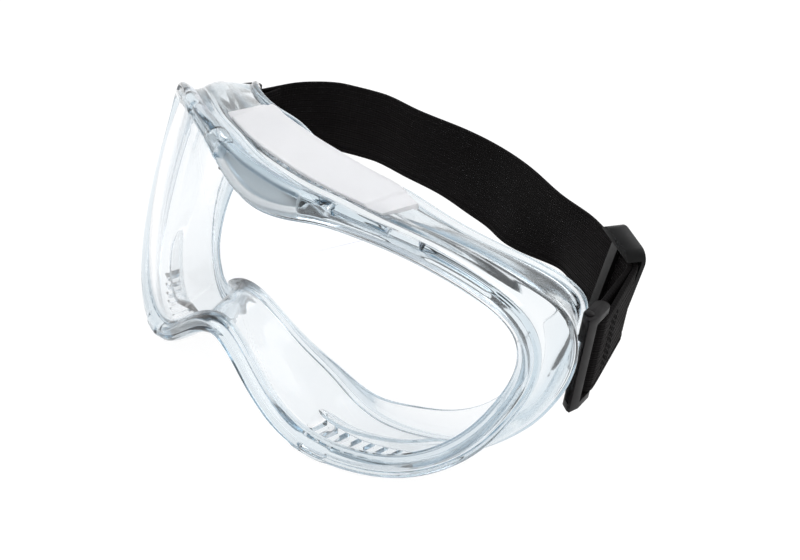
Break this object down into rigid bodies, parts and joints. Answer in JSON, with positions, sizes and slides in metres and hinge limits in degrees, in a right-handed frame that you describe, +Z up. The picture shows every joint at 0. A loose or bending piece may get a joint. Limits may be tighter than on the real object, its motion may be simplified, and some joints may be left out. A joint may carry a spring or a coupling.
{
  "type": "safety goggles",
  "caption": "Clear wrap-round safety goggles: toric lens in a soft vented frame with a face flange, pivoting strap clips, strap sliders and a woven elastic head strap",
  "frame": {"origin": "under the middle of the goggles' bounding box, on the flat plane that the frame's lower rim stands on", "axes": "+X is the wearer's left, +Y runs back from the lens to the strap, +Z is up"},
  "size_m": [0.165, 0.1118, 0.0785],
  "materials": {
    "lens_clear": "optically clear, polished, faint grey-blue tint",
    "frame_clear": "clear flexible vinyl, smooth, grey-teal in thick edges",
    "vent_frosted": "frosted translucent moulding",
    "webbing": "woven elastic webbing, ribbed, matte",
    "thread": "polyester thread",
    "black_plastic": "satin moulded black",
    "black_gloss": "semi-gloss moulded black"
  },
  "bodies": {
    "goggles": {"lens": "lens_clear", "frame_body": "frame_clear", "face_flange": "frame_clear", "top_vent_cover": "vent_frosted", "lower_vent_baffle_left": "frame_clear", "lower_vent_baffle_right": "frame_clear", "strap_band": "webbing", "strap_tail_left": "webbing", "strap_tail_right": "webbing", "tail_stitching_left": "thread", "tail_stitching_right": "thread"},
    "clip_left_body": {"clip_left": "black_plastic", "clip_pin_left": "black_plastic"},
    "clip_right_body": {"clip_right": "black_plastic", "clip_pin_right": "black_plastic"},
    "slider_body": {"slider": "black_gloss"}
  },
  "joints": [
    {"name": "clip_left_pivot", "type": "hinge", "parent": "goggles", "child": "clip_left_body", "pos_m": [0.0779, 0.0112, 0.0381], "axis": [0, 0, -1], "range_deg": [-3, 20], "deforming": ["strap_band", "strap_tail_left", "tail_stitching_left"]},
    {"name": "clip_right_pivot", "type": "hinge", "parent": "goggles", "child": "clip_right_body", "pos_m": [-0.0779, 0.0112, 0.0381], "axis": [0, 0, 1], "range_deg": [-3, 20], "deforming": ["strap_band", "strap_tail_right", "tail_stitching_right"]},
    {"name": "slider_slide", "type": "slide", "parent": "goggles", "child": "slider_body", "axis": [-0.9493, 0.3144, 0], "range_m": [-0.001, 0.006]}
  ]
}
